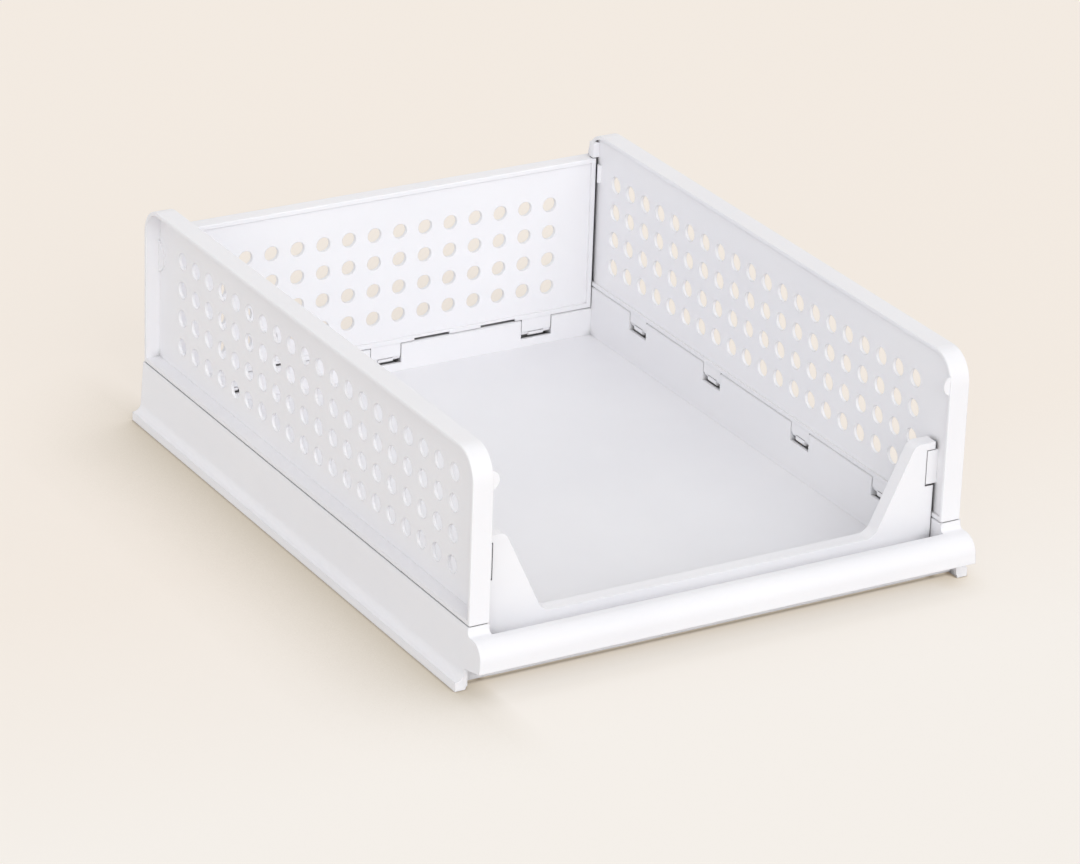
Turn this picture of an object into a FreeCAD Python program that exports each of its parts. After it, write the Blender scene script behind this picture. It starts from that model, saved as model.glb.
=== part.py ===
import FreeCAD, Part
import Sketcher
import math
import os

# Pull-out organizer basket that folds flat: a moulded tray with a pull bar, and four
# panels hinged on its rims. Millimetres, +X right, +Y back, +Z up, and the origin at the
# middle of the ground under it.

V = FreeCAD.Vector
doc = FreeCAD.newDocument("organizer_basket")
os.makedirs("parts", exist_ok=True)

# Driving dimensions: alias, value, meaning
SIZES = (
    ("inner_width", 300, "between the inner faces of the side panels"),
    ("panel_length", 414, "side panel from its front edge to its back end"),
    ("bar_reach", 16, "front of the pull bar ahead of the side panels"),
    ("side_top", 142, "top of the side panels"),
    ("back_top", 126, "top of the back panel"),
    ("ear_top", 86, "top of the front panel's ears"),
    ("low_edge_top", 32.5, "top of the front panel's low middle edge"),
    ("side_seam", 37.8, "top of the tray's side walls"),
    ("end_seam", 22.9, "top of the tray's front and back rims"),
    ("seam_gap", 0.6, "gap between a rim and the panel above it, and at a panel's sides"),
    ("tray_wall", 2.2, "tray walls and rim tops"),
    ("floor_thickness", 2.4, "tray floor"),
    ("floor_lift", 2, "underside of the floor above the ground"),
    ("skirt_lift", 1.8, "lower edge of the front skirt above the ground"),
    ("skirt_setback", 6, "front skirt behind the side panels' front edge"),
    ("skirt_step", 5, "end of the skirt's lower lip from the inner wall"),
    ("wall_ledge", 0.6, "top of the tray's side wall outside the side panel"),
    ("wall_spread", 1.7, "foot of the side wall outside its top"),
    ("runner_inset", 1, "inner edge of a runner inside the foot of its side wall"),
    ("runner_lip", 0.4, "flat top of a runner's lip beyond its hollow"),
    ("runner_height", 5.5, "height of a runner's lip"),
    ("runner_fillet", 5.3, "hollow between the runner and the side wall"),
    ("back_rim_depth", 12, "back rim from the back panel's inner face to the tray's end"),
    ("trough_reach", 3, "back face of the pull bar ahead of the side panels"),
    ("bar_top", 32.5, "top of the pull bar"),
    ("bar_bottom", 16, "lower edge of the pull bar"),
    ("bar_round", 10, "outer radius of the pull bar"),
    ("bar_end_bottom", 12.8, "lower corner of the bar's closed end at the side wall"),
    ("bar_fillet", 2.5, "hollow between the bar's top and the side wall's front"),
    ("web_setback", 1.5, "perforated walls behind the inner face of their rims"),
    ("side_depth", 13, "side panel, inner face to outer rim"),
    ("side_web", 2, "side panel's perforated wall"),
    ("side_rim", 2.5, "side panel's rim"),
    ("side_corner", 18, "radius of the side panel's upper corners"),
    ("back_depth", 10.5, "back panel, inner face to outer rim"),
    ("back_web", 2.5, "back panel's perforated wall"),
    ("back_rim", 3, "back panel's rim"),
    ("front_setback", 10, "front panel's face behind the side panels' front edge"),
    ("front_depth", 9.5, "front panel, face to inner rim"),
    ("front_web", 2.5, "front panel's face wall"),
    ("front_rim", 2.5, "front panel's rim"),
    ("edge_round", 0.7, "rounding of the panels' long edges"),
    ("hole_pitch", 18, "between holes along a row"),
    ("row_pitch", 18.75, "between rows of holes"),
    ("side_hole", 11, "diameter of the side panels' holes"),
    ("back_hole", 9.6, "diameter of the back panel's holes"),
    ("side_row_drop", 27.3, "top row of holes below the side panel's top"),
    ("side_row_shift", 1.9, "middle of a side panel's rows ahead of the basket's middle"),
    ("back_row_drop", 27, "top row of holes below the back panel's top"),
    ("side_columns", 20, "holes in a side panel's row"),
    ("back_columns", 14, "holes in a back panel's row"),
    ("hole_rows", 4, "rows of holes in a panel"),
    ("ear_foot", 110.35, "foot of the ear's slope from the middle"),
    ("ear_lean", 25.4, "run of the ear's slope outwards"),
    ("ear_foot_round", 9, "radius at the foot of the ear's slope"),
    ("ear_top_round", 6, "radius at the top of the ear's slope"),
    ("tab_bottom", 59.7, "lower end of the front tab on the side panel"),
    ("tab_top", 80.9, "upper end of the front tab"),
    ("tab_reach", 5.8, "front tab into the basket"),
    ("tab_depth", 8, "front tab along the side panel"),
    ("tab_clearance", 0.5, "between the front tab and its notch"),
    ("tab_swing", 1.2, "room below the front tab for the panel's swing"),
    ("peg_height", 124, "middle of the half round peg"),
    ("peg_setback", 0.9, "flat face of the peg behind the front edge"),
    ("peg_radius", 6.1, "radius of the peg"),
    ("peg_reach", 4.2, "peg into the basket"),
    ("nub_bottom", 110, "lower end of the detent rib ahead of the back panel"),
    ("nub_top", 122, "upper end of the detent rib"),
    ("nub_radius", 2, "radius of the detent rib"),
    ("nub_reach", 0.4, "detent rib into the basket"),
    ("nub_setback", 2, "middle of the detent rib ahead of the back panel"),
    ("boss_height", 107.5, "middle of the round boss in the side panel's recess"),
    ("boss_radius", 11, "radius of the boss"),
    ("boss_reach", 7.5, "boss ahead of the rim that cuts it off"),
    ("boss_rise", 1, "boss above the perforated wall"),
    ("lip_reach", 3, "lip above the back panel into the basket"),
    ("lip_depth", 5, "lip along the side panel"),
    ("lip_top", 136.5, "top of the lip"),
    ("rim_chamfer", 1.2, "width of the chamfer on the tray's rims, for the panels' swing"),
    ("rim_chamfer_height", 0.8, "height of that chamfer"),
    ("slot_height", 1.5, "slots in the back panel's lower edge"),
    ("slot_width", 25.4, "width of a slot"),
    ("slot_inner", 33, "middle of the inner slot from the middle"),
    ("slot_outer", 81, "middle of the outer slot from the middle"),
    ("pin_radius", 1.3, "hinge pin"),
    ("pin_clearance", 0.05, "between the pin and the panel's eye"),
    ("eye_radius", 2.6, "outside of a hinge eye"),
    ("axis_setback", 3.6, "hinge axis behind the panel's inner face"),
    ("side_axis_drop", 6.8, "side hinge axis below the side seam"),
    ("end_axis_drop", 8.7, "front and back hinge axes below the end seam"),
    ("lug_recess", 0.3, "face of a lug behind the panel's inner face"),
    ("lug_crease", 0.45, "lower edge of a lug's face above the hinge axis"),
    ("nose_radius", 2.3, "round lower end of a lug's middle"),
    ("lug_groove", 0.6, "height of the groove below that edge"),
    ("lug_groove_depth", 0.9, "depth of the groove, as far as the eye lets it go"),
    ("nose_clearance", 1.2, "between that end and the bottom of the notch"),
    ("nose_margin", 5.2, "part of a lug at each side of its middle"),
    ("side_lug", 19.6, "width of a side panel's lug"),
    ("end_lug", 21.3, "width of a lug on the front or back panel"),
    ("side_lug_gap", 0.45, "between a side lug and its notch, on each side"),
    ("end_lug_gap", 0.45, "between a front or back lug and its notch, on each side"),
    ("side_notch_drop", 12.1, "depth of a side notch below the seam"),
    ("end_notch_drop", 12.9, "depth of a front or back notch below the seam"),
    ("cheek", 3, "thickness of the plates that hold a pin"),
    ("cheek_drop", 6, "cheek below the hinge axis"),
    ("side_hinge_end", 66.5, "outer side hinges from the ends of a row as long as the panel"),
    ("side_hinge_pitch", 89.5, "from an outer side hinge to the inner one beside it"),
    ("side_hinge_shift", 3.5, "middle of the row ahead of the side panel's middle"),
    ("back_hinge_spacing", 109.4, "outer back hinges from the middle one"),
)


class Size:
    """A length as a number, with the text that binds it to the sheet."""

    def __init__(self, number, text):
        self.number = number
        self.text = text

    def __add__(self, other):
        other = as_size(other)
        return Size(self.number + other.number, f"({self.text} + {other.text})")

    def __sub__(self, other):
        other = as_size(other)
        return Size(self.number - other.number, f"({self.text} - {other.text})")

    def __mul__(self, other):
        other = as_size(other)
        return Size(self.number * other.number, f"({self.text} * {other.text})")

    def __truediv__(self, other):
        other = as_size(other)
        return Size(self.number / other.number, f"({self.text} / {other.text})")

    def __neg__(self):
        return Size(-self.number, f"(0 - {self.text})")


def as_size(value):
    """A plain number as a Size."""
    return value if isinstance(value, Size) else Size(value, str(value))


def root(size):
    return Size(math.sqrt(size.number), f"sqrt({size.text})")


def make_sheet():
    """The spreadsheet of driving dimensions, and each one as a Size by its alias."""
    sheet = doc.addObject("Spreadsheet::Sheet", "Sizes")
    sizes = {}
    for row, (alias, number, meaning) in enumerate(SIZES, start=1):
        sheet.set(f"A{row}", str(number))
        sheet.setAlias(f"A{row}", alias)
        sheet.set(f"B{row}", meaning)
        sizes[alias] = Size(number, f"Sizes.{alias}")
    doc.recompute()
    return sizes


S = make_sheet()

# Places worked out from the driving dimensions
half_width = S["inner_width"] / 2
front_edge = (S["bar_reach"] - S["panel_length"]) / 2
back_end = (S["bar_reach"] + S["panel_length"]) / 2
bar_front = front_edge - S["bar_reach"]
back_face = back_end - S["back_rim_depth"]
front_face = front_edge + S["front_setback"]
front_inner = front_face + S["front_depth"]
panel_side = half_width - S["seam_gap"]
side_outer = half_width + S["side_depth"]
side_foot = S["side_seam"] + S["seam_gap"]
end_foot = S["end_seam"] + S["seam_gap"]
floor_top = S["floor_lift"] + S["floor_thickness"]
wall_outer = side_outer + S["wall_ledge"]
side_axis = half_width + S["axis_setback"]
side_axis_height = S["side_seam"] - S["side_axis_drop"]
end_axis_height = S["end_seam"] - S["end_axis_drop"]
back_axis = back_face + S["axis_setback"]
front_axis = front_inner - S["axis_setback"]
side_notch = S["side_lug"] + S["side_lug_gap"] * 2
end_notch = S["end_lug"] + S["end_lug_gap"] * 2
side_notch_bottom = S["side_seam"] - S["side_notch_drop"]
end_notch_bottom = S["end_seam"] - S["end_notch_drop"]
first_hinge = front_edge + S["side_hinge_end"] - S["side_hinge_shift"]
last_hinge = back_end - S["side_hinge_end"] - S["side_hinge_shift"]
SIDE_HINGES = (
    first_hinge,
    first_hinge + S["side_hinge_pitch"],
    last_hinge - S["side_hinge_pitch"],
    last_hinge,
)
# The outer front hinges stand where a folded side panel's tab comes down between the rims
tab_middle = (S["tab_bottom"] + S["tab_top"]) / 2
front_spacing = side_axis - (tab_middle - side_axis_height)
BACK_HINGES = (-S["back_hinge_spacing"], as_size(0), S["back_hinge_spacing"])
FRONT_HINGES = (-front_spacing, as_size(0), front_spacing)

# The sketch planes, and the way that each one's normal points along its axis
NORMAL = {"XY_Plane": 1, "XZ_Plane": -1, "YZ_Plane": 1}
ORIGIN = (-1, 1)


def make_body(label):
    body = doc.addObject("PartDesign::Body", label)
    body.Label = label
    body.Placement = FreeCAD.Placement()
    return body


def make_sketch(body, name, plane, place):
    """A sketch parallel to one of the body's own origin planes, at a place along its axis."""
    sketch = body.newObject("Sketcher::SketchObject", name)
    support = [o for o in body.Origin.OriginFeatures if o.Role == plane][0]
    sketch.AttachmentSupport = [(support, "")]
    sketch.MapMode = "FlatFace"
    offset = as_size(place) * NORMAL[plane]
    sketch.AttachmentOffset = FreeCAD.Placement(V(0, 0, offset.number), FreeCAD.Rotation())
    sketch.setExpression("AttachmentOffset.Base.z", offset.text)
    return sketch


def bind(sketch, kind, where, size):
    """A dimension of the sketch, held to its place in the sheet."""
    number = sketch.addConstraint(Sketcher.Constraint(kind, *where, size.number))
    sketch.setExpression(f"Constraints[{number}]", size.text)


def bind_point(sketch, geometry, end, u, v):
    bind(sketch, "DistanceX", (*ORIGIN, geometry, end), as_size(u))
    bind(sketch, "DistanceY", (*ORIGIN, geometry, end), as_size(v))


def draw_outline(sketch, corners, arcs=()):
    """A closed outline through corners. arcs gives, for the side that starts at a corner,
    the centre of its arc and whether the arc turns left."""
    arcs = dict(arcs)
    count = len(corners)
    corners = [(as_size(u), as_size(v)) for u, v in corners]
    ends = []
    first = sketch.GeometryCount
    for i, (u, v) in enumerate(corners):
        start = V(u.number, v.number, 0)
        stop = V(corners[(i + 1) % count][0].number, corners[(i + 1) % count][1].number, 0)
        if i in arcs:
            centre_u, centre_v, left = arcs[i]
            centre = V(centre_u.number, centre_v.number, 0)
            low, high = (start, stop) if left else (stop, start)
            turn = [math.atan2(p.y - centre.y, p.x - centre.x) for p in (low, high)]
            circle = Part.Circle(centre, V(0, 0, 1), (start - centre).Length)
            sketch.addGeometry(Part.ArcOfCircle(circle, turn[0], turn[1]), False)
            ends.append((1, 2) if left else (2, 1))
        else:
            sketch.addGeometry(Part.LineSegment(start, stop), False)
            ends.append((1, 2))
    for i in range(count):
        after = (i + 1) % count
        joint = Sketcher.Constraint(
            "Coincident", first + i, ends[i][1], first + after, ends[after][0])
        sketch.addConstraint(joint)
        bind_point(sketch, first + i, ends[i][0], *corners[i])
    return first


def draw_circle(sketch, u, v, radius):
    circle = Part.Circle(V(as_size(u).number, as_size(v).number, 0), V(0, 0, 1), radius.number)
    number = sketch.addGeometry(circle, False)
    bind_point(sketch, number, 3, u, v)
    bind(sketch, "Radius", (number,), radius)


def run(body, kind, sketch, plane, start, end):
    """Pad or Pocket from the sketch's place, start, to end along the plane's axis."""
    feature = body.newObject(f"PartDesign::{kind}", f"{kind}_of_{sketch.Name}")
    feature.Profile = sketch
    rises = end.number > start.number
    length = end - start if rises else start - end
    with_normal = rises == (NORMAL[plane] > 0)
    feature.Length = length.number
    feature.setExpression("Length", length.text)
    feature.Reversed = with_normal if kind == "Pocket" else not with_normal
    return feature


def prism(body, kind, name, plane, start, end, corners, arcs=(), more=()):
    """An outline, and any more without arcs, padded or cut along the plane's axis."""
    start = as_size(start)
    end = as_size(end)
    sketch = make_sketch(body, name, plane, start)
    draw_outline(sketch, corners, arcs)
    for outline in more:
        draw_outline(sketch, outline)
    return run(body, kind, sketch, plane, start, end)


def blocks(body, kind, name, boxes, z):
    """Boxes of one height, each given by its places along X and Y, added or cut away."""
    outlines = []
    for x, y in boxes:
        outlines.append(((x[0], y[0]), (x[1], y[0]), (x[1], y[1]), (x[0], y[1])))
    return prism(body, kind, name, "XY_Plane", z[0], z[1], outlines[0], (), outlines[1:])


def round_edges(body, name, radius, chosen):
    """Fillet the edges of the body so far for which chosen(edge) is true."""
    doc.recompute()
    base = body.Tip
    names = [f"Edge{i + 1}" for i, e in enumerate(base.Shape.Edges) if chosen(e)]
    fillet = body.newObject("PartDesign::Fillet", name)
    fillet.Base = (base, names)
    fillet.Radius = radius.number
    fillet.setExpression("Radius", radius.text)
    return fillet


def near(a, b):
    return abs(a - b) < 0.01


def hole_grid(body, name, plane, start, end, u, v, diameter, columns):
    """A hole cut through the web and repeated along its row and down to the lower rows."""
    sketch = make_sketch(body, name, plane, start)
    draw_circle(sketch, u, v, diameter / 2)
    hole = run(body, "Pocket", sketch, plane, start, end)
    doc.recompute()
    grid = body.newObject("PartDesign::LinearPattern", f"Grid_of_{name}")
    grid.Originals = [hole]
    grid.Direction = (sketch, ["H_Axis"])
    grid.Mode = "Spacing"
    grid.setExpression("Offset", S["hole_pitch"].text)
    grid.setExpression("Occurrences", columns.text)
    grid.Direction2 = (sketch, ["V_Axis"])
    grid.Reversed2 = True
    grid.Mode2 = "Spacing"
    grid.setExpression("Offset2", S["row_pitch"].text)
    grid.setExpression("Occurrences2", S["hole_rows"].text)
    body.Tip = grid
    doc.recompute()
    # Every step down is the row pitch, the first one too
    grid.Spacings2 = [-1.0] * (grid.Occurrences2 - 1)
    return grid


def half_round(body, name, plane, start, end, centre, radius, flat, toward):
    """A round pad with one side cut off flat. centre is its middle in the sketch, flat is
    the place of the cut and toward the sign of the way from there to the round side."""
    u, v = centre
    rise = root(radius * radius - (flat - u) * (flat - u))
    middle = V(u.number, v.number, 0)
    low = V(flat.number, (v - rise).number, 0)
    high = V(flat.number, (v + rise).number, 0)
    first, last = (low, high) if toward > 0 else (high, low)
    turn = [math.atan2(p.y - middle.y, p.x - middle.x) for p in (first, last)]
    sketch = make_sketch(body, name, plane, start)
    circle = Part.Circle(middle, V(0, 0, 1), radius.number)
    arc = sketch.addGeometry(Part.ArcOfCircle(circle, turn[0], turn[1]), False)
    chord = sketch.addGeometry(Part.LineSegment(last, first), False)
    sketch.addConstraint(Sketcher.Constraint("Coincident", arc, 2, chord, 1))
    sketch.addConstraint(Sketcher.Constraint("Coincident", chord, 2, arc, 1))
    bind_point(sketch, arc, 3, u, v)
    bind(sketch, "Radius", (arc,), radius)
    bind(sketch, "DistanceX", (*ORIGIN, arc, 1), flat)
    bind(sketch, "DistanceX", (*ORIGIN, arc, 2), flat)
    return run(body, "Pad", sketch, plane, start, end)


def hinge_lugs(body, plane, outward, axis_u, axis_v, top, width, notch_bottom, places):
    """Lugs that reach down from a panel. Each has a flat face down to a crease, a round eye
    about the hinge axis below it, and a middle that goes on below a groove to a round nose.
    outward is the sign of the way from the panel's inner face to its outer side."""
    radius = S["eye_radius"]
    face = axis_u - (S["axis_setback"] - S["lug_recess"]) * outward
    far = axis_u + radius * outward
    crease = axis_v + S["lug_crease"]
    bulge = root(radius * radius - S["lug_crease"] * S["lug_crease"])
    left = outward > 0
    eye = (
        (face, top), (face, crease), (axis_u - bulge * outward, crease),
        (far, axis_v), (far, top),
    )
    nose_u = face + S["nose_radius"] * outward
    nose_v = notch_bottom + S["nose_clearance"] + S["nose_radius"]
    groove = face + S["lug_groove_depth"] * outward
    nose = (
        (face, axis_v + radius), (face, crease), (groove, crease),
        (groove, crease - S["lug_groove"]), (face, crease - S["lug_groove"]), (face, nose_v),
        (nose_u + S["nose_radius"] * outward, nose_v),
        (nose_u + S["nose_radius"] * outward, axis_v + radius),
    )
    reach = width / 2
    for i, place in enumerate(places):
        prism(body, "Pad", f"{body.Label}_lug_{i + 1}", plane, place - reach, place + reach,
              eye, {2: (axis_u, axis_v, left)})
        prism(body, "Pad", f"{body.Label}_nose_{i + 1}", plane,
              place - reach + S["nose_margin"], place + reach - S["nose_margin"],
              nose, {5: (nose_u, nose_v, left)})


def hinge_bore(body, plane, axis_u, axis_v, start, end):
    """One straight bore through all the eyes of a panel."""
    sketch = make_sketch(body, f"{body.Label}_bore", plane, start)
    draw_circle(sketch, axis_u, axis_v, S["pin_radius"] + S["pin_clearance"])
    return run(body, "Pocket", sketch, plane, start, end)


def make_side_panel(label, side):
    """A side panel: a perforated wall just behind the inner face of a deep rim that is
    open to the outside. side is 1 for the right panel and -1 for the left one."""
    body = make_body(label)
    inner = half_width * side
    outer = side_outer * side
    corner = S["side_corner"]
    web_in = (half_width + S["web_setback"]) * side
    web_out = web_in + S["side_web"] * side

    def corner_outline(inset):
        front = front_edge + inset
        back = back_end - inset
        top = S["side_top"] - inset
        radius = corner - inset
        corners = (
            (front, side_foot + inset), (back, side_foot + inset),
            (back, top - radius), (back - radius, top),
            (front + radius, top), (front, top - radius),
        )
        arcs = {
            2: (back - radius, top - radius, True),
            4: (front + radius, top - radius, True),
        }
        return corners, arcs

    prism(body, "Pad", f"{label}_outline", "YZ_Plane", inner, outer, *corner_outline(as_size(0)))

    def long_edge(edge):
        middle = edge.CenterOfMass
        on_face = near(edge.BoundBox.XMin, edge.BoundBox.XMax)
        return on_face and not near(middle.z, side_foot.number)

    round_edges(body, f"{label}_rounding", S["edge_round"], long_edge)
    recess = corner_outline(S["side_rim"])
    prism(body, "Pocket", f"{label}_recess", "YZ_Plane", outer, web_out, *recess)
    prism(body, "Pocket", f"{label}_inner_recess", "YZ_Plane", inner, web_in, *recess)

    # Front tab that fills the notch in the front panel's ear
    tab = ((web_in, (half_width - S["tab_reach"]) * side),
           (front_face, front_face + S["tab_depth"]))
    blocks(body, "Pad", f"{label}_tab", [tab], (S["tab_bottom"], S["tab_top"]))

    # Half round peg, with its flat face to the front
    peg_u = (half_width + S["peg_radius"] - S["peg_reach"]) * side
    half_round(body, f"{label}_peg", "XZ_Plane", front_edge + S["peg_setback"],
               front_edge + S["side_rim"], (peg_u, S["peg_height"]), S["peg_radius"],
               peg_u, -side)

    # Lip above the back panel's corner
    lip = ((web_in, (half_width - S["lip_reach"]) * side),
           (back_face, back_face + S["lip_depth"]))
    blocks(body, "Pad", f"{label}_lip", [lip],
           (S["back_top"] + S["seam_gap"], S["lip_top"]))

    # Detent rib ahead of the back panel, and the round boss that the rim cuts off
    nub_centre = (half_width + S["nub_radius"] - S["nub_reach"]) * side
    sketch = make_sketch(body, f"{label}_nub", "XY_Plane", S["nub_bottom"])
    draw_circle(sketch, nub_centre, back_face - S["nub_setback"], S["nub_radius"])
    run(body, "Pad", sketch, "XY_Plane", S["nub_bottom"], S["nub_top"])
    rim_face = back_end - S["side_rim"]
    boss_middle = rim_face - S["boss_reach"] + S["boss_radius"]
    half_round(body, f"{label}_boss", "YZ_Plane", web_out, web_out + S["boss_rise"] * side,
               (boss_middle, S["boss_height"]), S["boss_radius"],
               rim_face + S["side_rim"] / 2, -1)

    row_length = S["hole_pitch"] * (int(S["side_columns"].number) - 1)
    first_hole = (front_inner + back_face - row_length) / 2 - S["side_row_shift"]
    top_row = S["side_top"] - S["side_row_drop"]
    hole_grid(body, f"{label}_hole", "YZ_Plane", web_in, web_out,
              first_hole, top_row, S["side_hole"], S["side_columns"])

    hinge_lugs(body, "XZ_Plane", side, side_axis * side, side_axis_height,
               side_foot + S["side_rim"] / 2, S["side_lug"], side_notch_bottom, SIDE_HINGES)
    hinge_bore(body, "XZ_Plane", side_axis * side, side_axis_height, front_edge, back_end)
    return body


def make_back_panel():
    """The back panel: a perforated wall just behind the inner face of its rim."""
    label = "back_panel"
    body = make_body(label)
    outer = back_face + S["back_depth"]
    corners = (
        (-panel_side, end_foot), (panel_side, end_foot),
        (panel_side, S["back_top"]), (-panel_side, S["back_top"]),
    )
    prism(body, "Pad", f"{label}_outline", "XZ_Plane", back_face, outer, corners)

    def top_edge(edge):
        box = edge.BoundBox
        return near(box.ZMin, S["back_top"].number) and near(box.YMin, box.YMax)

    round_edges(body, f"{label}_rounding", S["edge_round"], top_edge)
    rim = S["back_rim"]
    recess = (
        (-panel_side + rim, end_foot + rim), (panel_side - rim, end_foot + rim),
        (panel_side - rim, S["back_top"] - rim), (-panel_side + rim, S["back_top"] - rim),
    )
    web_in = back_face + S["web_setback"]
    web_out = web_in + S["back_web"]
    prism(body, "Pocket", f"{label}_recess", "XZ_Plane", outer, web_out, recess)
    prism(body, "Pocket", f"{label}_inner_recess", "XZ_Plane", back_face, web_in, recess)
    slot_places = (-S["slot_outer"], -S["slot_inner"], S["slot_inner"], S["slot_outer"])
    for i, middle in enumerate(slot_places):
        slot = (
            (middle - S["slot_width"] / 2, end_foot), (middle + S["slot_width"] / 2, end_foot),
            (middle + S["slot_width"] / 2, end_foot + S["slot_height"]),
            (middle - S["slot_width"] / 2, end_foot + S["slot_height"]),
        )
        prism(body, "Pocket", f"{label}_slot_{i + 1}", "XZ_Plane", back_face, outer, slot)

    row_length = S["hole_pitch"] * (int(S["back_columns"].number) - 1)
    top_row = S["back_top"] - S["back_row_drop"]
    hole_grid(body, f"{label}_hole", "XZ_Plane", web_in, web_out,
              -row_length / 2, top_row, S["back_hole"], S["back_columns"])
    hinge_lugs(body, "YZ_Plane", 1, back_axis, end_axis_height,
               end_foot + S["back_rim"] / 2, S["end_lug"], end_notch_bottom, BACK_HINGES)
    hinge_bore(body, "YZ_Plane", back_axis, end_axis_height, -panel_side, panel_side)
    return body


def make_front_panel():
    """The front panel: a low middle edge between two ears, its plain face to the front."""
    label = "front_panel"
    body = make_body(label)
    slope_top = S["ear_foot"] + S["ear_lean"]
    notch_side = half_width - S["tab_reach"] - S["tab_clearance"]
    notch_low = S["tab_bottom"] - S["tab_swing"]
    notch_high = S["tab_top"] + S["tab_clearance"]
    right = (
        (panel_side, end_foot), (panel_side, notch_low), (notch_side, notch_low),
        (notch_side, notch_high), (panel_side, notch_high), (panel_side, S["ear_top"]),
        (slope_top, S["ear_top"]), (S["ear_foot"], S["low_edge_top"]),
    )
    left = tuple((-u, v) for u, v in reversed(right))
    prism(body, "Pad", f"{label}_outline", "XZ_Plane", front_face, front_inner, right + left)

    def at_slope(x, z):
        def chosen(edge):
            middle = edge.CenterOfMass
            box = edge.BoundBox
            through = near(box.YMax - box.YMin, S["front_depth"].number)
            return through and near(abs(middle.x), x.number) and near(middle.z, z.number)
        return chosen

    round_edges(body, f"{label}_foot_round", S["ear_foot_round"],
                at_slope(S["ear_foot"], S["low_edge_top"]))
    round_edges(body, f"{label}_top_round", S["ear_top_round"],
                at_slope(slope_top, S["ear_top"]))

    # Recesses in the inner side, one in each ear and one along the low edge
    rim = S["front_rim"]
    web_in = front_face + S["front_web"]
    strip_top = S["low_edge_top"] - rim
    slant = S["ear_lean"] / (S["ear_top"] - S["low_edge_top"])
    rim_along = rim * root(slant * slant + 1)
    low_u = S["ear_foot"] + rim_along + (S["ear_foot_round"] + rim) * slant
    high_u = slope_top + rim_along - rim * slant
    strip = (
        (-S["ear_foot"], end_foot + rim), (S["ear_foot"], end_foot + rim),
        (S["ear_foot"], strip_top), (-S["ear_foot"], strip_top),
    )
    prism(body, "Pocket", f"{label}_strip", "XZ_Plane", front_inner, web_in, strip)
    for name, side in (("left", -1), ("right", 1)):
        ear = (
            ((S["ear_foot"] + rim) * side, end_foot + rim),
            ((panel_side - rim) * side, end_foot + rim),
            ((panel_side - rim) * side, notch_low - rim),
            ((notch_side - rim) * side, notch_low - rim),
            ((notch_side - rim) * side, S["ear_top"] - rim - S["ear_top_round"]),
            (high_u * side, S["ear_top"] - rim - S["ear_top_round"]),
            (low_u * side, S["low_edge_top"] + S["ear_foot_round"]),
            ((S["ear_foot"] + rim) * side, strip_top),
        )
        prism(body, "Pocket", f"{label}_{name}_ear", "XZ_Plane", front_inner, web_in, ear)
    hinge_lugs(body, "YZ_Plane", -1, front_axis, end_axis_height,
               end_foot + S["front_rim"] / 2, S["end_lug"], end_notch_bottom, FRONT_HINGES)
    hinge_bore(body, "YZ_Plane", front_axis, end_axis_height, -panel_side, panel_side)
    return body


def tray_section(body, foot_outer, foot_height):
    """Floor with a solid wall and a runner at each side, the same from front to back."""
    runner_inner = foot_outer - S["runner_inset"]
    hollow_outer = foot_outer - S["tray_wall"]
    runner_root = runner_inner - (runner_inner - hollow_outer) * S["floor_lift"] / floor_top
    fillet_end = foot_outer + S["runner_fillet"]
    runner_outer = fillet_end + S["runner_lip"]
    right = (
        (runner_root, S["floor_lift"]), (runner_inner, 0), (runner_outer, 0),
        (runner_outer, S["runner_height"]), (fillet_end, S["runner_height"]),
        (foot_outer, foot_height), (wall_outer, S["side_seam"]),
        (half_width, S["side_seam"]), (half_width, floor_top),
    )
    left = tuple((-as_size(u), v) for u, v in reversed(right))
    fillet_start = 4
    fillet_mirror = 2 * len(right) - 2 - fillet_start
    arcs = {
        fillet_start: (fillet_end, foot_height, False),
        fillet_mirror: (-fillet_end, foot_height, False),
    }
    prism(body, "Pad", "section", "XZ_Plane", front_edge, back_end, right + left, arcs)

    # Hollow of each side wall, open below, with a cross wall in line with the front skirt
    hollow = (
        (half_width + S["tray_wall"], 0), (runner_inner, 0), (hollow_outer, floor_top),
        (wall_outer - S["tray_wall"], S["side_seam"] - S["tray_wall"]),
        (half_width + S["tray_wall"], S["side_seam"] - S["tray_wall"]),
    )
    front = front_edge + S["tray_wall"]
    cross_wall = front_edge + S["skirt_setback"]
    back = back_end - S["tray_wall"]
    mirrored = tuple((-u, v) for u, v in hollow)
    prism(body, "Pocket", "corner_hollows", "XZ_Plane", front, cross_wall,
          hollow, (), [mirrored])
    prism(body, "Pocket", "wall_hollows", "XZ_Plane", cross_wall + S["tray_wall"], back,
          hollow, (), [mirrored])


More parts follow.
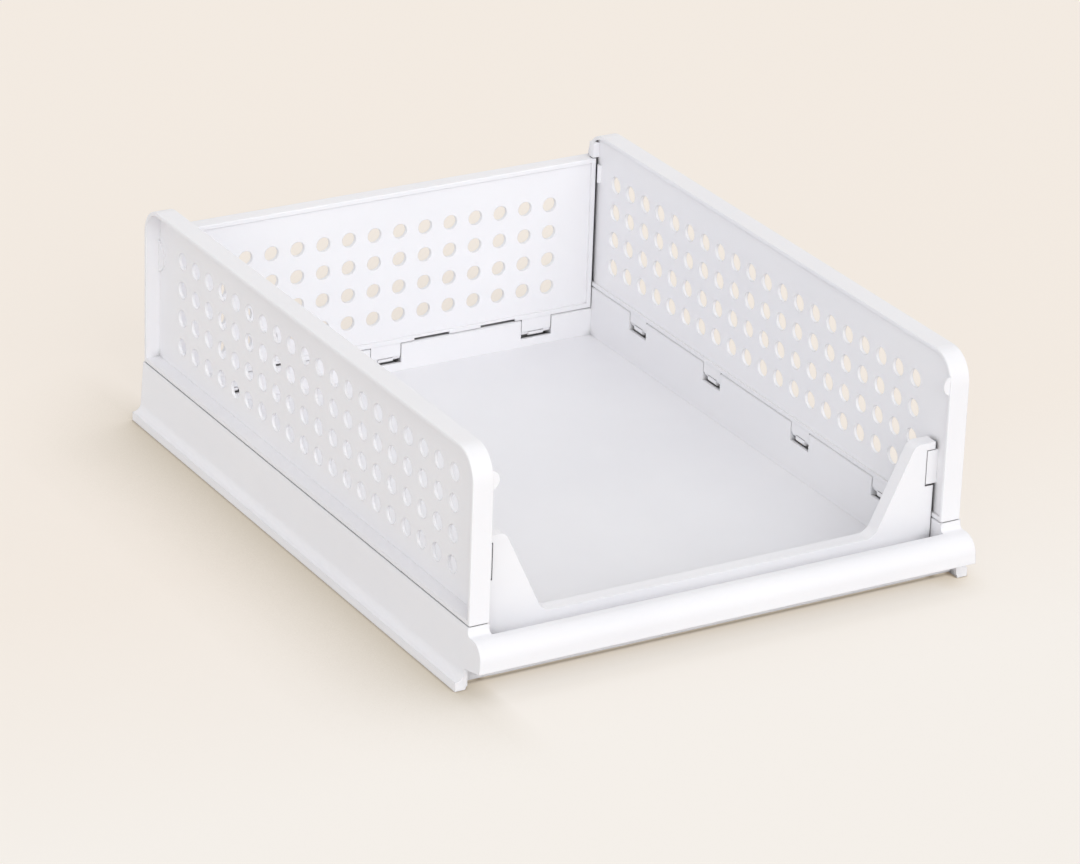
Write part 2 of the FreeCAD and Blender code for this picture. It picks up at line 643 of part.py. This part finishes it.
def pull_bar(body, foot_outer, foot_height):
    """The hollow bar across the front, open below, with closed ends in line with the
    side walls and a trough between it and the front panel."""
    wall = S["tray_wall"]
    ends = (
        (-foot_outer, foot_height), (foot_outer, foot_height),
        (wall_outer, S["side_seam"]), (-wall_outer, S["side_seam"]),
    )
    prism(body, "Pad", "bar_block", "XZ_Plane", front_edge, bar_front, ends)
    round_middle = bar_front + S["bar_round"]
    round_height = S["bar_top"] - S["bar_round"]
    beyond = bar_front - wall
    fillet = S["bar_fillet"]
    outside = (
        (front_edge, foot_height), (front_edge, S["bar_end_bottom"]),
        (bar_front, S["bar_bottom"]), (bar_front, round_height),
        (round_middle, S["bar_top"]), (front_edge - fillet, S["bar_top"]),
        (front_edge, S["bar_top"] + fillet), (front_edge, S["side_seam"]),
        (beyond, S["side_seam"]), (beyond, foot_height),
    )
    outside_arcs = {
        3: (round_middle, round_height, False),
        5: (front_edge - fillet, S["bar_top"] + fillet, True),
    }
    prism(body, "Pocket", "bar_outside", "YZ_Plane", -foot_outer, foot_outer,
          outside, outside_arcs)
    trough = ((-half_width, half_width), (front_edge - S["trough_reach"], front_edge))
    blocks(body, "Pocket", "trough", [trough], (S["end_seam"], S["side_seam"]))
    rear_wall = front_edge - S["trough_reach"] - wall
    inside = (
        (bar_front + wall, foot_height), (front_edge, foot_height),
        (front_edge, S["end_seam"] - wall), (rear_wall, S["end_seam"] - wall),
        (rear_wall, S["bar_top"] - wall), (round_middle, S["bar_top"] - wall),
        (bar_front + wall, round_height),
    )
    cap = wall_outer - wall
    prism(body, "Pocket", "bar_inside", "YZ_Plane", -cap, cap,
          inside, {5: (round_middle, round_height, True)})


def end_rims(body, foot_outer, foot_height):
    """The hollow rims at the front and back, and the skirt below the front one."""
    wall = S["tray_wall"]
    across = (-half_width, half_width)
    skirt = front_edge + S["skirt_setback"]
    blocks(body, "Pad", "end_rims",
           [(across, (front_edge, front_inner)), (across, (back_face, back_end))],
           (S["floor_lift"], S["end_seam"]))
    lip_end = half_width - S["skirt_step"]
    blocks(body, "Pad", "skirt_lip", [((-lip_end, lip_end), (skirt, skirt + wall))],
           (S["skirt_lift"], S["floor_lift"] + wall))
    finger_gap = (front_edge, skirt)
    foot_inner = foot_outer - wall
    front_hollow = (skirt + wall, front_inner - wall)
    back_hollow = (back_face + wall, back_end - wall)
    blocks(body, "Pocket", "rim_hollows",
           [(across, finger_gap), (across, front_hollow), (across, back_hollow)],
           (0, S["end_seam"] - wall))
    blocks(body, "Pocket", "corner_gap", [((-foot_inner, foot_inner), finger_gap)],
           (0, foot_height))


def rim_chamfers(body):
    """The rims' upper inner edges, cut back so that a panel's lower edge swings clear."""
    width = S["rim_chamfer"]
    side_low = S["side_seam"] - S["rim_chamfer_height"]
    right = ((half_width, side_low), (half_width + width, S["side_seam"]),
             (half_width, S["side_seam"]))
    left = tuple((-u, v) for u, v in right)
    prism(body, "Pocket", "side_chamfers", "XZ_Plane", front_edge, back_end,
          right, (), [left])
    end_low = S["end_seam"] - S["rim_chamfer_height"]
    back = ((back_face, end_low), (back_face + width, S["end_seam"]),
            (back_face, S["end_seam"]))
    front = ((front_inner, end_low), (front_inner, S["end_seam"]),
             (front_inner - width, S["end_seam"]))
    prism(body, "Pocket", "end_chamfers", "YZ_Plane", -half_width, half_width,
          back, (), [front])


def side_hinge_seats(body):
    """Notches in the side walls for the lugs, each between two plates that hold a pin."""
    wall = S["tray_wall"]
    cheeks = []
    notches = []
    for side in (1, -1):
        plate = ((half_width + wall / 2) * side, (wall_outer - wall / 2) * side)
        opening = (half_width * side, (wall_outer - wall) * side)
        for place in SIDE_HINGES:
            low = place - side_notch / 2
            high = place + side_notch / 2
            cheeks.append((plate, (low - S["cheek"], low)))
            cheeks.append((plate, (high, high + S["cheek"])))
            notches.append((opening, (low, high)))
    blocks(body, "Pad", "side_cheeks", cheeks,
           (side_axis_height - S["cheek_drop"], S["side_seam"] - wall / 2))
    blocks(body, "Pocket", "side_notches", notches,
           (side_notch_bottom, S["side_seam"]))
    seats_start = front_edge + S["skirt_setback"] + wall
    seats = make_sketch(body, "side_pin_seats", "XZ_Plane", seats_start)
    for side in (1, -1):
        draw_circle(seats, side_axis * side, side_axis_height, S["pin_radius"])
    run(body, "Pocket", seats, "XZ_Plane", seats_start, back_end - wall)


def end_hinge_seats(body):
    """The same in the front and back rims."""
    wall = S["tray_wall"]
    skirt = front_edge + S["skirt_setback"]
    front_plate = (skirt + wall / 2, front_inner - wall / 2)
    back_plate = (back_face + wall / 2, back_end - wall / 2)
    cheeks = []
    notches = []
    for plate, opening, places in (
            (front_plate, (front_face, front_inner), FRONT_HINGES),
            (back_plate, (back_face, back_end - wall), BACK_HINGES)):
        for place in places:
            low = place - end_notch / 2
            high = place + end_notch / 2
            cheeks.append(((low - S["cheek"], low), plate))
            cheeks.append(((high, high + S["cheek"]), plate))
            notches.append(((low, high), opening))
    blocks(body, "Pad", "end_cheeks", cheeks,
           (end_axis_height - S["cheek_drop"], S["end_seam"] - wall / 2))
    blocks(body, "Pocket", "end_notches", notches,
           (end_notch_bottom, S["end_seam"]))
    for name, axis, places in (("front", front_axis, FRONT_HINGES),
                               ("back", back_axis, BACK_HINGES)):
        reach = places[-1] + end_notch / 2 + S["cheek"]
        seats = make_sketch(body, f"{name}_pin_seats", "YZ_Plane", -reach)
        draw_circle(seats, axis, end_axis_height, S["pin_radius"])
        run(body, "Pocket", seats, "YZ_Plane", -reach, reach)


def make_tray():
    """The tray: floor, hollow rims on four sides, runners and the pull bar, one moulding."""
    body = make_body("base_tray")
    foot_outer = wall_outer + S["wall_spread"]
    foot_height = S["runner_height"] + S["runner_fillet"]
    tray_section(body, foot_outer, foot_height)
    end_rims(body, foot_outer, foot_height)
    pull_bar(body, foot_outer, foot_height)
    rim_chamfers(body)
    side_hinge_seats(body)
    end_hinge_seats(body)
    return body


def make_pin(label, x, y, z, along, length):
    """A hinge pin that starts at a place and runs along X or Y."""
    pin = doc.addObject("Part::Cylinder", label)
    pin.Label = label
    pin.setExpression("Radius", S["pin_radius"].text)
    pin.setExpression("Height", length.text)
    turn = {"X": (V(0, 1, 0), 90), "Y": (V(1, 0, 0), -90)}[along]
    place = V(as_size(x).number, as_size(y).number, z.number)
    pin.Placement = FreeCAD.Placement(place, FreeCAD.Rotation(*turn))
    for axis, size in (("x", x), ("y", y), ("z", z)):
        pin.setExpression(f"Placement.Base.{axis}", as_size(size).text)
    return pin


def make_pins():
    """One pin for each hinge, from the outside of one plate to that of the other."""
    side_length = side_notch + S["cheek"] * 2
    end_length = end_notch + S["cheek"] * 2
    pins = []
    for name, side in (("left", -1), ("right", 1)):
        for i, place in enumerate(SIDE_HINGES):
            pins.append(make_pin(f"{name}_hinge_pin_{i + 1}", side_axis * side,
                                 place - side_length / 2, side_axis_height, "Y", side_length))
    for name, axis, places in (("front", front_axis, FRONT_HINGES),
                               ("back", back_axis, BACK_HINGES)):
        for i, place in enumerate(places):
            pins.append(make_pin(f"{name}_hinge_pin_{i + 1}", place - end_length / 2,
                                 axis, end_axis_height, "X", end_length))
    return pins


def export_all(parts):
    """Check every object, then write one STEP file for each sub-part."""
    doc.recompute()
    for item in doc.Objects:
        if "Invalid" in item.State or "Error" in item.State:
            raise RuntimeError(f"{item.Label} failed: {item.State}")
    for item in parts:
        if item.Shape.isNull() or not item.Shape.isValid():
            raise RuntimeError(f"{item.Label} has no valid shape")
    for item in parts:
        item.Shape.exportStep(f"parts/{item.Label}.step")
        print(f"{item.Label}: {len(item.Shape.Solids)} solid, {item.Shape.Volume:.1f} mm3")


export_all([
    make_tray(),
    make_side_panel("left_side_panel", -1),
    make_side_panel("right_side_panel", 1),
    make_back_panel(),
    make_front_panel(),
    *make_pins(),
])
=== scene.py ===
import math

import bmesh
import bpy
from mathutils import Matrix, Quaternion, Vector

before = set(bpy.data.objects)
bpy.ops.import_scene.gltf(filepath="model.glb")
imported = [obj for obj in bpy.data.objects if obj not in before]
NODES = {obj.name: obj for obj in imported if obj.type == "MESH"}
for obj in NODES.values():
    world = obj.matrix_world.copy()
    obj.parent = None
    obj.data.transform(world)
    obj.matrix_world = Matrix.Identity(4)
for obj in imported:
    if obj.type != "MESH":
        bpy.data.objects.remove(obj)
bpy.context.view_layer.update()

# The camera, solved from the panels' edges and the rows of holes
CAMERA_PLACE = Vector((-1.37384, -2.32065, 1.23591))
CAMERA_TURN = Quaternion((0.8120473, 0.5240045, -0.1530406, -0.2063421))
CAMERA_LENS = 164.564
CAMERA_SENSOR = 36
CAMERA_SEES_FROM = 0.1
CAMERA_SEES_TO = 50

# Soft lights: name, degrees from the front to the left, height, strength
SOFT_LIGHTS = (
    ("front", 0, 28, 0.82),
    ("front left", 30, 30, 0.4),
    ("low left", 60, 9, 0.3),
    ("right", -100, 36, 0.26),
)
LIGHT_SPREAD = 40
LIGHT_DISTANCE = 3
SKY = (0.98, 0.985, 1.0)
SKY_STRENGTH = 0.69

# The basket's colours, SHADE being the painted shade for its gaps
WHITE = (0.9, 0.897, 0.918)
SHADE = (0.07, 0.067, 0.072)
STEEL = (0.55, 0.55, 0.56)
EDGE_RADIUS = 0.0007

# The floor: its colours, some of them painted shadows, how brightly it glows and what share of
# it does
CREAM = (0.965, 0.89, 0.81)
PALE_CREAM = (0.98, 0.934, 0.877)
UNDER_BAR_SHADOW = (0.78, 0.68, 0.55)
SHADED_CREAM = (0.61, 0.546, 0.448)
CONTACT_SHADOW_TAN = (0.2, 0.14, 0.09)
DULL_PAPER = (0.8, 0.77, 0.74)
PAPER_GLOW = 0.93
GLOW_SHARE = 0.65
FLOOR_SIZE = 7.0

# Crevices, where shade and shadow are painted into the colour: reach in metres, and the open
# shares of the sky at which one is dark and clear
PANEL_GAP = (0.015, 0.05, 0.36)
TROUGH = (0.03, 0.03, 0.2)
TROUGH_DEPTH = 0.3
UNDER_BAR = (0.02, 0.35, 0.95)
BESIDE_WALL = (0.1, 0.5, 1.0)
CONTACT = (0.004, 0.4, 0.75)
CONTACT_DEPTH = 0.8


def seen_or_mirrored(nodes, links):
    """1 for what the camera sees, straight or in metal and glass, and 0 for other light."""
    rays = nodes.new("ShaderNodeLightPath")
    total = rays.outputs["Is Camera Ray"]
    for kind in ("Is Glossy Ray", "Is Transmission Ray"):
        larger = nodes.new("ShaderNodeMath")
        larger.operation = "MAXIMUM"
        links.new(total, larger.inputs[0])
        links.new(rays.outputs[kind], larger.inputs[1])
        total = larger.outputs["Value"]
    return total


class Material:
    """A node material on object coordinates, built up from small steps."""

    def __init__(self, name):
        self.data = bpy.data.materials.new(name)
        self.data.use_nodes = True
        self.nodes = self.data.node_tree.nodes
        self.links = self.data.node_tree.links
        self.shader = self.nodes["Principled BSDF"]
        self.place = self.nodes.new("ShaderNodeTexCoord").outputs["Object"]

    def stretch(self, scale):
        """Object coordinates scaled along each axis."""
        mapping = self.nodes.new("ShaderNodeMapping")
        mapping.inputs["Scale"].default_value = scale
        self.links.new(self.place, mapping.inputs["Vector"])
        return mapping.outputs["Vector"]

    def noise(self, scale, detail=2.0, roughness=0.5, vector=None):
        node = self.nodes.new("ShaderNodeTexNoise")
        node.inputs["Scale"].default_value = scale
        node.inputs["Detail"].default_value = detail
        node.inputs["Roughness"].default_value = roughness
        self.links.new(vector or self.place, node.inputs["Vector"])
        return node.outputs["Fac"]

    def spread(self, value, low, high, new_low, new_high):
        """A value moved from one range to another and kept inside it."""
        node = self.nodes.new("ShaderNodeMapRange")
        node.inputs["From Min"].default_value = low
        node.inputs["From Max"].default_value = high
        node.inputs["To Min"].default_value = new_low
        node.inputs["To Max"].default_value = new_high
        self.links.new(value, node.inputs["Value"])
        return node.outputs["Result"]

    def combine(self, operation, first, second):
        """Two numbers or outputs added, taken away, multiplied or compared."""
        node = self.nodes.new("ShaderNodeMath")
        node.operation = operation
        node.use_clamp = operation in ("ADD", "SUBTRACT")
        for socket, value in zip(node.inputs, (first, second)):
            if isinstance(value, (int, float)):
                socket.default_value = value
            else:
                self.links.new(value, socket)
        return node.outputs["Value"]

    def mix(self, factor, first, second):
        """A colour mixed from two by a factor. Each colour is a triple or an output."""
        node = self.nodes.new("ShaderNodeMix")
        node.data_type = "RGBA"
        self.links.new(factor, node.inputs["Factor"])
        for socket, value in ((node.inputs[6], first), (node.inputs[7], second)):
            if isinstance(value, tuple):
                socket.default_value = (*value, 1)
            else:
                self.links.new(value, socket)
        return node.outputs[2]

    def edges(self, radius):
        """How sharply the surface turns within a radius, 0 on flats, and the rounded normal."""
        bevel = self.nodes.new("ShaderNodeBevel")
        bevel.samples = 6
        bevel.inputs["Radius"].default_value = radius
        flat = self.nodes.new("ShaderNodeNewGeometry").outputs["Normal"]
        dot = self.nodes.new("ShaderNodeVectorMath")
        dot.operation = "DOT_PRODUCT"
        self.links.new(bevel.outputs["Normal"], dot.inputs[0])
        self.links.new(flat, dot.inputs[1])
        return self.spread(dot.outputs["Value"], 1.0, 0.8, 0.0, 1.0), bevel.outputs["Normal"]

    def crevices(self, reach, deep, shallow):
        """1 in a gap narrower than the reach, 0 in the open. deep and shallow are the open
        shares of the sky at which it is 1 and 0."""
        node = self.nodes.new("ShaderNodeAmbientOcclusion")
        node.samples = 8
        node.inputs["Distance"].default_value = reach
        return self.spread(node.outputs["AO"], deep, shallow, 1.0, 0.0)

    def bump(self, height, distance, strength=1.0, normal=None):
        node = self.nodes.new("ShaderNodeBump")
        node.inputs["Distance"].default_value = distance
        node.inputs["Strength"].default_value = strength
        self.links.new(height, node.inputs["Height"])
        if normal:
            self.links.new(normal, node.inputs["Normal"])
        return node.outputs["Normal"]

    def finish(self, colour, roughness, normal):
        self.links.new(colour, self.shader.inputs["Base Color"])
        self.links.new(roughness, self.shader.inputs["Roughness"])
        self.links.new(normal, self.shader.inputs["Normal"])
        return self.data


def moulded_plastic(name, colour, grain):
    """White polypropylene: a fine moulded grain, faint flow clouds, edges that are rounded in
    the shading, painted a little lighter as a highlight and rubbed a little smoother, slight
    handling marks, and painted shade that darkens it nearly to black in narrow gaps and partly
    in wider troughs."""
    made = Material(name)
    edge, rounded = made.edges(EDGE_RADIUS)
    clouds = made.spread(made.noise(9.0, 4.0, 0.55), 0.3, 0.7, 0.0, 1.0)
    specks = made.spread(made.noise(900.0, 2.0, 0.6), 0.62, 0.78, 0.0, 0.35)
    shade = tuple(c * f for c, f in zip(colour, (0.965, 0.965, 0.972)))
    body = made.mix(clouds, shade, colour)
    dusty = made.mix(specks, body, tuple(c * 0.9 for c in colour))
    # Painted highlight: the colour is made a little lighter on edges.
    painted_edge_highlight = tuple(min(1.0, c * 1.03) for c in colour)
    edge_highlit = made.mix(made.combine("MULTIPLY", edge, 0.5), dusty, painted_edge_highlight)
    # Painted shade: the colour goes nearly to black in narrow gaps, and partly so in wider
    # troughs.
    gap_shade = made.crevices(*PANEL_GAP)
    trough_shade = made.combine("MULTIPLY", made.crevices(*TROUGH), TROUGH_DEPTH)
    with_painted_shade = made.mix(made.combine("MAXIMUM", gap_shade, trough_shade), edge_highlit, SHADE)

    marks = made.noise(60.0, 5.0, 0.7, made.stretch((1.0, 0.35, 0.6)))
    polish = made.spread(marks, 0.35, 0.7, 0.36, 0.5)
    roughness = made.combine("SUBTRACT", polish, made.combine("MULTIPLY", edge, 0.08))

    fine = made.noise(grain, 3.0, 0.6)
    waves = made.noise(26.0, 2.0, 0.5)
    normal = made.bump(fine, 0.00006, 0.5, rounded)
    normal = made.bump(waves, 0.0004, 0.25, normal)
    made.shader.inputs["IOR"].default_value = 1.49
    made.shader.inputs["Subsurface Weight"].default_value = 0.12
    made.shader.inputs["Subsurface Radius"].default_value = (1.0, 0.9, 0.85)
    made.shader.inputs["Subsurface Scale"].default_value = 0.0018
    return made.finish(with_painted_shade, roughness, normal)


def drawn_steel(name):
    """Steel wire with fine lines along its length."""
    made = Material(name)
    lines = made.noise(500.0, 4.0, 0.6, made.stretch((1.0, 1.0, 12.0)))
    colour = made.mix(lines, tuple(c * 0.8 for c in STEEL), STEEL)
    roughness = made.spread(lines, 0.3, 0.7, 0.22, 0.42)
    made.shader.inputs["Metallic"].default_value = 1.0
    return made.finish(colour, roughness, made.bump(lines, 0.00003, 0.4))


def paper_floor(name):
    """Plain cream paper, paler in front of the basket, with painted shadows: a darker, warmer
    one under it, one along its left foot and a tan line where the basket touches it. Where it
    is seen it is bright and partly glows, so that shadows on it are soft.
    It gives the basket only the light of a duller paper."""
    made = Material(name)
    fibres = made.noise(260.0, 3.0, 0.6)
    place = made.nodes.new("ShaderNodeSeparateXYZ")
    made.links.new(made.place, place.inputs["Vector"])
    in_front = made.spread(place.outputs["Y"], 0.0, -0.28, 0.0, 1.0)
    at_left = made.spread(place.outputs["X"], -0.15, -0.17, 0.0, 1.0)
    open_paper = made.mix(in_front, CREAM, PALE_CREAM)
    # Painted shadow: darker, warmer paper where the bar and basket hide the sky.
    open_paper = made.mix(made.crevices(*UNDER_BAR), open_paper, UNDER_BAR_SHADOW)
    # Painted shadow along the basket's left foot.
    shadow = made.combine("MULTIPLY", made.crevices(*BESIDE_WALL), at_left)
    cream = made.mix(shadow, open_paper, SHADED_CREAM)
    # Painted contact shadow: a tan line where the basket touches the floor.
    contact_shadow = made.combine("MULTIPLY", made.crevices(*CONTACT), CONTACT_DEPTH)
    cream = made.mix(contact_shadow, cream, CONTACT_SHADOW_TAN)
    seen = seen_or_mirrored(made.nodes, made.links)
    colour = made.mix(seen, DULL_PAPER, cream)
    roughness = made.spread(fibres, 0.3, 0.7, 0.85, 0.95)
    made.shader.inputs["Specular IOR Level"].default_value = 0.1

    glow = made.nodes.new("ShaderNodeEmission")
    glow.inputs["Strength"].default_value = PAPER_GLOW
    made.links.new(cream, glow.inputs["Color"])
    both = made.nodes.new("ShaderNodeMixShader")
    made.links.new(made.combine("MULTIPLY", seen, GLOW_SHARE), both.inputs["Fac"])
    made.links.new(made.shader.outputs["BSDF"], both.inputs[1])
    made.links.new(glow.outputs["Emission"], both.inputs[2])
    made.links.new(both.outputs["Shader"], made.nodes["Material Output"].inputs["Surface"])
    return made.finish(colour, roughness, made.bump(fibres, 0.0001, 0.1))


def dress(node, material):
    """Give a piece its material."""
    mesh = NODES[node].data
    mesh.materials.clear()
    mesh.materials.append(material)


def make_camera():
    data = bpy.data.cameras.new("camera")
    data.lens = CAMERA_LENS
    data.sensor_width = CAMERA_SENSOR
    data.clip_start = CAMERA_SEES_FROM
    data.clip_end = CAMERA_SEES_TO
    camera = bpy.data.objects.new("camera", data)
    bpy.context.scene.collection.objects.link(camera)
    camera.rotation_mode = "QUATERNION"
    camera.location = CAMERA_PLACE
    camera.rotation_quaternion = CAMERA_TURN
    bpy.context.scene.camera = camera


def make_light(name, azimuth, height, strength):
    """One wide soft light, aimed at the basket."""
    data = bpy.data.lights.new(name, "SUN")
    data.energy = strength
    data.angle = math.radians(LIGHT_SPREAD)
    lamp = bpy.data.objects.new(name, data)
    bpy.context.scene.collection.objects.link(lamp)
    azimuth = math.radians(azimuth)
    height = math.radians(height)
    away = Vector((-math.sin(azimuth) * math.cos(height),
                   -math.cos(azimuth) * math.cos(height), math.sin(height)))
    lamp.location = away * LIGHT_DISTANCE
    lamp.rotation_mode = "QUATERNION"
    lamp.rotation_quaternion = (-away).to_track_quat("-Z", "Y")


def make_world():
    """Even soft light from all round, and cream where the camera looks past the floor."""
    world = bpy.data.worlds.new("world")
    bpy.context.scene.world = world
    world.use_nodes = True
    nodes = world.node_tree.nodes
    links = world.node_tree.links
    glow = nodes["Background"]
    glow.inputs["Color"].default_value = (*SKY, 1)
    glow.inputs["Strength"].default_value = SKY_STRENGTH
    seen = nodes.new("ShaderNodeBackground")
    seen.inputs["Color"].default_value = (*CREAM, 1)
    seen.inputs["Strength"].default_value = 1.0
    mix = nodes.new("ShaderNodeMixShader")
    links.new(seen_or_mirrored(nodes, links), mix.inputs["Fac"])
    links.new(glow.outputs["Background"], mix.inputs[1])
    links.new(seen.outputs["Background"], mix.inputs[2])
    links.new(mix.outputs["Shader"], nodes["World Output"].inputs["Surface"])


def make_floor():
    mesh = bpy.data.meshes.new("floor")
    sheet = bmesh.new()
    bmesh.ops.create_grid(sheet, x_segments=1, y_segments=1, size=FLOOR_SIZE)
    sheet.to_mesh(mesh)
    sheet.free()
    floor = bpy.data.objects.new("floor", mesh)
    bpy.context.scene.collection.objects.link(floor)
    mesh.materials.append(paper_floor("floor_paper"))


tray_plastic = moulded_plastic("tray_plastic", WHITE, 1400.0)
panel_plastic = moulded_plastic("panel_plastic", WHITE, 1600.0)
pin_steel = drawn_steel("pin_steel")
for node in NODES:
    if "pin" in node:
        dress(node, pin_steel)
    elif node == "base_tray":
        dress(node, tray_plastic)
    else:
        dress(node, panel_plastic)

make_camera()
make_world()
make_floor()
for light in SOFT_LIGHTS:
    make_light(*light)
bpy.context.scene.view_settings.view_transform = "Standard"
